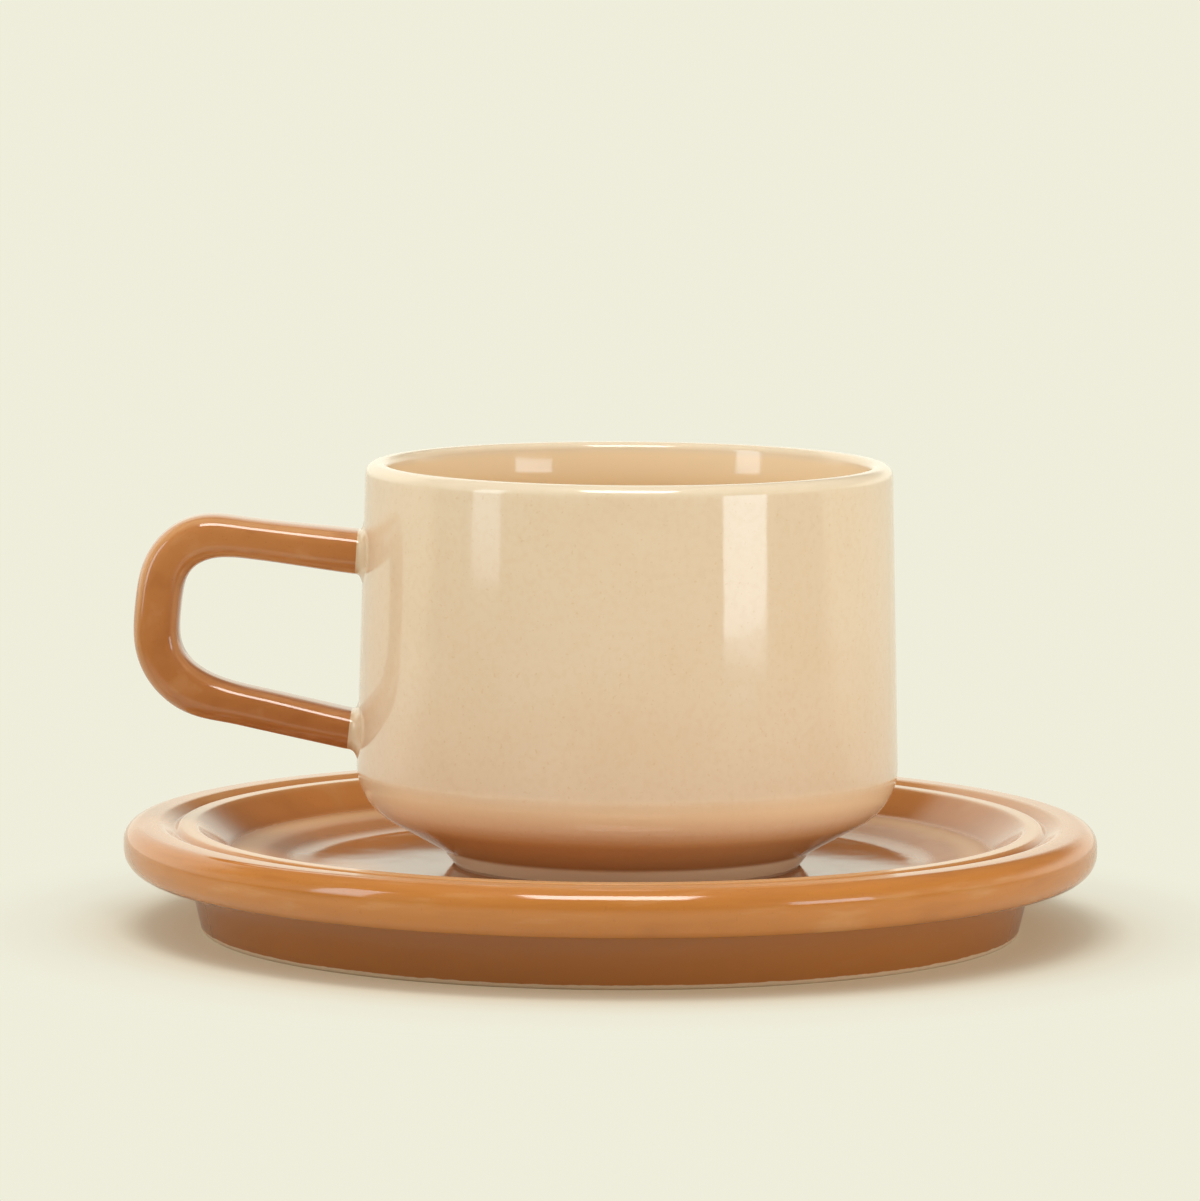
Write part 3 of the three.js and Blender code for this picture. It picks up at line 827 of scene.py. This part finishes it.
def caramel_glaze(colours, saucer):
    """Caramel over the saucer: streaked round it, pale over the bead, the roll and the ledge, where the
    glaze breaks thin and light is painted on these upward faces, pooled in the groove and the ledge's
    corner, pooled with painted shade in the well, darker on the base as painted shade under the rim, and
    bare under the foot ring. It is duller on the ledge and the slope."""
    material, place = shader("caramel_glaze")
    x, y, height = (place.axis(name) for name in "XYZ")
    out = from_axis(x, y)
    pool_and_shade, thin = rgba(colours.caramel_pool_and_shade), rgba(colours.caramel_thin_and_lit)
    roll_inner, groove, bead_outer, bead_inner, ledge_outer, ledge_inner, well = saucer_lines(saucer)
    tone = mottled(place, rgba(colours.caramel), pool_and_shade, CARAMEL_CLOUDS)
    turn = {0: x / out * STREAKS_ROUND, 1: y / out * STREAKS_ROUND, 2: (out - height) * STREAKS_ACROSS}
    streak = place.node("ShaderNodeCombineXYZ", {}, turn).noise(1.0, detail=3.0)
    tone = (streak.ramp(*DARK_STREAK_LEVELS) * DARK_STREAKS).mix(tone, pool_and_shade)
    tone = (streak.ramp(*PALE_STREAK_LEVELS) * PALE_STREAKS).mix(tone, thin)
    upper = (height - saucer.well_height).ramp(*UPPER_OVER_WELL)
    crest = (saucer.height - height).ramp(*CREST_BELOW_RIM)
    # Thin glaze and painted light over the bead, the roll and the ledge.
    bead_break_and_light = out.near((bead_outer + bead_inner) / 2, BEAD_BREAK_REACH)
    roll_break_and_light = out.near(roll_inner + ROLL_BREAK_OUT, ROLL_BREAK_REACH) * ROLL_BREAK_AND_LIGHT
    ledge_break_and_light = out.near((ledge_outer + ledge_inner) / 2, LEDGE_BREAK_REACH)
    breaks = (bead_break_and_light + roll_break_and_light) * crest + ledge_break_and_light * upper
    tone = (breaks * CARAMEL_BREAKS_AND_LIGHT).mix(tone, thin)
    # Pooled glaze in the groove and the ledge's corner; pooled glaze and painted shade in the well.
    groove_pool = out.near(groove, GROOVE_POOL_REACH) * GROOVE_POOL
    ledge_pool = out.near(ledge_outer, LEDGE_POOL_REACH) * LEDGE_POOL
    well_pool_and_shade = (out - well).ramp(*POOL_AND_SHADE_BESIDE_WELL) * WELL_POOL_AND_SHADE
    pools = (groove_pool + ledge_pool + well_pool_and_shade) * upper
    tone = pools.mix(tone, pool_and_shade)
    # Painted shade on the base, under the rim.
    below_roll = (height - (saucer.height - saucer.roll_height)).ramp(*BASE_BELOW_ROLL)
    base = below_roll * (out - (saucer.radius - saucer.overhang)).ramp(*BASE_BESIDE_TOP)
    tone = (base * BASE_SHADE).mix(tone, rgba(colours.caramel_base_shade))
    bare = bare_foot(place, height, SAUCER_GLAZE_LINE)
    tone = bare.mix(tone, rgba(colours.clay))
    dull = (out - well).ramp(*DULL_BESIDE_WELL) * (out - ledge_outer).ramp(*DULL_BESIDE_LEDGE) * upper
    roughness = dull * colours.ledge_roughness + colours.caramel_roughness
    return glaze(material, place, tone, roughness, bare)


def brown_glaze(colours):
    """Brown over the handle: thin glaze and a painted sheen along the four corners of its section, where
    the sine of twice the turn round it is near 1 or -1, darker lower down as painted shade, and softly
    clouded along its run."""
    material, place = shader("brown_glaze")
    skin_map = place.node("ShaderNodeUVMap", {"uv_map": SKIN_MAP}, {})
    along, around = skin_map.axis("X"), skin_map.axis("Y")
    pool_and_shade, thin = rgba(colours.brown_pool_and_shade), rgba(colours.brown_thin_and_lit)
    tone = mottled(place, rgba(colours.brown), pool_and_shade, BROWN_CLOUDS)
    # Thin glaze and a painted sheen along the corners.
    twice_round = around * (4 * math.pi)
    corner = abs(twice_round.math("SINE", twice_round))
    tone = (corner.ramp(*CORNER_LEVELS) * CORNERS_THIN_AND_LIT).mix(tone, thin)
    # Painted shade: darker lower down the handle.
    shade_below = place.axis("Z").ramp(*SHADE_HEIGHTS)
    tone = (shade_below * SHADE_BELOW).mix(tone, pool_and_shade)
    run = place.node("ShaderNodeCombineXYZ", {}, {0: along * CLOUDS_ALONG, 1: around * CLOUDS_AROUND})
    cloud = run.noise(1.0, detail=3.0)
    tone = (cloud.ramp(*DARK_CLOUD_LEVELS) * DARK_CLOUDS).mix(tone, pool_and_shade)
    tone = (cloud.ramp(*PALE_CLOUD_LEVELS) * PALE_CLOUDS).mix(tone, thin)
    return glaze(material, place, tone, colours.brown_roughness)


def slip_glaze(colours):
    """Pale glaze over the slip collars, a little uneven."""
    material, place = shader("slip_glaze")
    tone = mottled(place, rgba(colours.slip), rgba(colours.cream_pool_and_shade), SLIP_CLOUDS)
    return glaze(material, place, tone, colours.slip_roughness)


def settle(piece, body, node, material):
    """A finished piece rides on its body, stands for its solid and takes its slot's finish."""
    piece.data.materials.append(material)
    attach(piece, body)
    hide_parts(node)


class MakeSaucer(bpy.types.Operator):
    """Turn the saucer and glaze it"""

    bl_idname = "tableware.make_saucer"
    bl_label = "Saucer"

    def execute(self, context):
        ware = context.scene.cup_and_saucer
        profile = stepped(rounded(saucer_profile(ware.saucer)), PROFILE_STEP)
        piece = turned("saucer_ware", profile, SAUCER_SIDES, 0.0, 0.0)
        settle(piece, "saucer", "saucer", caramel_glaze(ware.glazes, ware.saucer))
        return {"FINISHED"}


class MakeCup(bpy.types.Operator):
    """Turn the cup and glaze it"""

    bl_idname = "tableware.make_cup"
    bl_label = "Cup"

    def execute(self, context):
        ware = context.scene.cup_and_saucer
        base_z = ware.saucer.well_height
        profile = stepped(rounded(cup_profile(ware.cup)), PROFILE_STEP)
        piece = turned("cup_ware", profile, CUP_SIDES, ware.cup.offset, base_z)
        settle(piece, "cup", "cup_body", cream_glaze(ware.glazes, ware.cup, base_z))
        return {"FINISHED"}


class MakeHandle(bpy.types.Operator):
    """Pull the handle, lute it to the cup with two slip collars and glaze them"""

    bl_idname = "tableware.make_handle"
    bl_label = "Handle and slip collars"

    def execute(self, context):
        ware = context.scene.cup_and_saucer
        place = np.array([ware.cup.offset, 0.0, ware.saucer.well_height])
        rings, upper_slope, lower_slope = handle_rings(ware.cup, ware.handle)
        loop = rings + place
        piece = skin("handle_ware", loop, loop[0].mean(0), loop[-1].mean(0))
        settle(piece, "cup", "handle", brown_glaze(ware.glazes))
        slip = slip_glaze(ware.glazes)
        for name, node, ring, slope, reach in (
            ("upper_collar", "upper_slip_joint", rings[0][::-1], upper_slope, ware.handle.upper_collar),
            ("lower_collar", "lower_slip_joint", rings[-1], lower_slope, ware.handle.lower_collar),
        ):
            collar = collar_rings(ware.cup, ware.handle, ring, slope, reach) + place
            piece = skin(name, collar, collar[0].mean(0), collar[-1].mean(0))
            settle(piece, "cup", node, slip)
        return {"FINISHED"}


def add_lamp(name, place, aim, size, power, tint):
    """A rectangular soft lamp at a place, turned to its aim."""
    lamp = bpy.data.lights.new(name, "AREA")
    lamp.shape = "RECTANGLE"
    lamp.size, lamp.size_y = size
    lamp.energy = power
    lamp.color = tint
    made = bpy.data.objects.new(name, lamp)
    made.location = place
    made.rotation_euler = (Vector(aim) - Vector(place)).to_track_quat("-Z", "Y").to_euler()
    made.visible_camera = False
    bpy.context.scene.collection.objects.link(made)
    return made


def ray(tree, kind):
    """1 for rays of a kind and 0 for all others."""
    return tree.node("ShaderNodeLightPath", {}, {}, f"Is {kind} Ray")


class SetStage(bpy.types.Operator):
    """Lay the floor, light the room, hang the lamps and set up the camera"""

    bl_idname = "tableware.set_stage"
    bl_label = "Stage"

    def execute(self, context):
        stage = context.scene.cup_and_saucer.stage
        self.lay_floor(stage)
        self.light_room(context.scene, stage)
        self.hang_lamps(stage)
        self.set_camera(context.scene, stage)
        context.scene.view_settings.view_transform = "Standard"
        return {"FINISHED"}

    def lay_floor(self, stage):
        """A wide floor. The camera sees paint near the ware, where the shadow falls, lifted by a share of
        painted glow, and further out the glow of the backdrop; beside the saucer the glow is warm, a
        painted bounce. The glaze mirrors paint near the ware, and further out a glow that is dark in front."""
        mesh = bpy.data.meshes.new("floor")
        corners = FLOOR_HALF * np.array([(-1, -1, 0), (1, -1, 0), (1, 1, 0), (-1, 1, 0)])
        mesh.from_pydata(corners.tolist(), [], [(0, 1, 2, 3)])
        floor = bpy.data.objects.new("floor", mesh)
        bpy.context.scene.collection.objects.link(floor)
        material, place = shader("floor_paint")
        y = place.axis("Y")
        out = from_axis(place.axis("X"), y)
        backdrop = rgba(stage.backdrop)
        seen = ray(place, "Camera")
        mirrored = ray(place, "Glossy").most(ray(place, "Transmission"))
        # Painted light: in the shadow the camera sees a share of glow, warm beside the saucer as a painted
        # bounce.
        seen_glow = SHADOW_GLOW + (1 - SHADOW_GLOW) * out.ramp(*SHADOW_OUT)
        share = seen * seen_glow + mirrored * out.ramp(*MIRROR_OUT)
        open_floor = out.ramp(*BOUNCE_OUT).mix(rgba(stage.bounce), backdrop)
        mirrored_floor = y.ramp(*DARK_FLOOR_BACK).mix(rgba(stage.dark_floor), backdrop)
        paint = place.node("ShaderNodeBsdfDiffuse", {}, {"Color": rgba(stage.floor)})
        glow = place.node("ShaderNodeEmission", {}, {"Color": mirrored.mix(open_floor, mirrored_floor)})
        surface = place.node("ShaderNodeMixShader", {}, {0: share, 1: paint, 2: glow})
        place.node("ShaderNodeOutputMaterial", {}, {"Surface": surface})
        mesh.materials.append(material)

    def light_room(self, scene, stage):
        """The room's light, by direction. What it gives is even all round, with more from the sides, from
        behind and above, and from low down on the right. What the glaze mirrors is dim, with bright sides,
        a window and a low wall behind, and some light above. The camera sees the backdrop."""
        world = bpy.data.worlds.new("studio")
        scene.world = world
        world.use_nodes = True
        world.node_tree.nodes.clear()
        toward = Socket(world.node_tree).node("ShaderNodeTexCoord", {}, {}, "Generated")
        x, y, z = (toward.axis(name) for name in "XYZ")
        low = z.ramp(*LOW_Z)
        sides = x * x
        above = ABOVE_LEVEL * z.ramp(*ABOVE_Z) + ZENITH_LEVEL * z.ramp(*ZENITH_Z)
        behind = y.most(0.0) * abs(x).ramp(*ASIDE_X).most(low)
        given = stage.even + stage.ambient * (SIDES_LEVEL * sides + BEHIND_LEVEL * behind + above)
        given += low * (LOW_LEVEL + LOW_RIGHT_LEVEL * x.ramp(*RIGHT_X)) - LEFT_LEVEL * x
        window = x.ramp(*WINDOW_X) * y.ramp(*WINDOW_Y) * z.ramp(*WINDOW_Z)
        wall = y.ramp(*WALL_Y) * low
        mirrored = MIRROR_LEVEL + MIRROR_SIDES_LEVEL * sides * z.ramp(*MIRROR_SIDES_Z)
        mirrored += MIRROR_BACK_LEVEL * window.most(wall) + MIRROR_ABOVE_LEVEL * above
        glossy = ray(toward, "Glossy")
        share = (glossy * mirrored + (1 - glossy) * given) * (1 / BRIGHTEST)
        room, mirrored_room = (
            rgba(BRIGHTEST * level for level in tint) for tint in (stage.room, stage.mirrored_room)
        )
        shone = share.mix(rgba((0.0, 0.0, 0.0)), glossy.mix(room, mirrored_room))
        seen = ray(toward, "Camera").mix(shone, rgba(stage.backdrop))
        sky = toward.node("ShaderNodeBackground", {}, {"Color": seen})
        toward.node("ShaderNodeOutputWorld", {}, {"Surface": sky})

    def hang_lamps(self, stage):
        """A key lamp high in front, with a gleam that only the glaze shows, and a lamp overhead that it
        does not show. The side lamps face the saucer's axis, and the fills are not mirrored either."""
        add_lamp("key_softbox", KEY_PLACE, ORIGIN, KEY_SIZE, stage.key_power, WARM)
        gleam_place = tuple(GLEAM_FURTHER * value for value in KEY_PLACE)
        gleam = add_lamp("key_gleam", gleam_place, ORIGIN, KEY_SIZE, stage.gleam_power, WARM)
        gleam.visible_diffuse = False
        overhead = add_lamp("top_softbox", TOP_PLACE, ORIGIN, TOP_SIZE, stage.top_power, WARM)
        overhead.visible_glossy = False
        for name, (degrees, bottom, top, width), power in (
            ("right_softbox", RIGHT_SOFTBOX, stage.right_power),
            ("left_softbox", LEFT_SOFTBOX, stage.left_power),
            ("left_softbox_top", LEFT_SOFTBOX_TOP, stage.left_top_power),
        ):
            turn = math.radians(degrees)
            middle = (bottom + top) / 2
            place = (stage.side_distance * math.sin(turn), -stage.side_distance * math.cos(turn), middle)
            add_lamp(name, place, (0.0, 0.0, middle), (width, top - bottom), power, COOL)
        for name, place, power in (
            ("right_fill", RIGHT_FILL_PLACE, stage.right_fill),
            ("left_fill", LEFT_FILL_PLACE, stage.left_fill),
        ):
            fill = add_lamp(name, place, FILL_AIM, FILL_SIZE, power, WARM)
            fill.visible_glossy = False

    def set_camera(self, scene, stage):
        """In front of the saucer: turned by its yaw, then down by its pitch, then leaned by its roll."""
        pitch, yaw, roll = stage.camera_pitch, stage.camera_yaw, stage.camera_roll
        ahead = Vector((math.sin(yaw), math.cos(yaw), 0.0))
        forward = math.cos(pitch) * ahead - math.sin(pitch) * Vector((0.0, 0.0, 1.0))
        level = Vector((math.cos(yaw), -math.sin(yaw), 0.0))
        upright = level.cross(forward)
        right = math.cos(roll) * level + math.sin(roll) * upright
        above = math.cos(roll) * upright - math.sin(roll) * level
        camera = bpy.data.cameras.new("camera")
        camera.sensor_width = FRAME_SIDE
        camera.lens = stage.camera_lens
        made = bpy.data.objects.new("camera", camera)
        turn = Matrix((right, above, -forward)).transposed().to_4x4()
        made.matrix_world = Matrix.Translation((0.0, -stage.camera_distance, stage.camera_height)) @ turn
        scene.collection.objects.link(made)
        scene.camera = made


class CupAndSaucer(bpy.types.PropertyGroup):
    """All settings of the cup and its saucer."""

    saucer: PointerProperty(name="Saucer", description="Sizes of the saucer", type=SaucerSizes)
    cup: PointerProperty(name="Cup", description="Sizes of the cup", type=CupSizes)
    handle: PointerProperty(name="Handle", description="Sizes of the handle", type=HandleSizes)
    glazes: PointerProperty(name="Glazes", description="Looks of the glazes", type=Glazes)
    stage: PointerProperty(name="Stage", description="Floor, lamps and camera", type=StageSettings)


class TablewarePanel(bpy.types.Panel):
    """Lists the steps and their settings"""

    bl_idname = "VIEW3D_PT_tableware"
    bl_label = "Cup and Saucer"
    bl_space_type = "VIEW_3D"
    bl_region_type = "UI"
    bl_category = "Tableware"

    def draw(self, context):
        ware = context.scene.cup_and_saucer
        for operator, group in (
            (MakeSaucer, ware.saucer),
            (MakeCup, ware.cup),
            (MakeHandle, ware.handle),
            (SetStage, ware.stage),
            (None, ware.glazes),
        ):
            box = self.layout.box()
            if operator:
                box.operator(operator.bl_idname)
            for name in group.__annotations__:
                box.prop(group, name)


GROUPS = (SaucerSizes, CupSizes, HandleSizes, Glazes, StageSettings, CupAndSaucer)
CLASSES = (*GROUPS, MakeSaucer, MakeCup, MakeHandle, SetStage, TablewarePanel)


def register():
    for each in CLASSES:
        bpy.utils.register_class(each)
    bpy.types.Scene.cup_and_saucer = PointerProperty(type=CupAndSaucer)


def unregister():
    del bpy.types.Scene.cup_and_saucer
    for each in reversed(CLASSES):
        bpy.utils.unregister_class(each)


def main():
    register()
    bpy.ops.tableware.make_saucer()
    bpy.ops.tableware.make_cup()
    bpy.ops.tableware.make_handle()
    bpy.ops.tableware.set_stage()


if __name__ == "__main__":
    main()
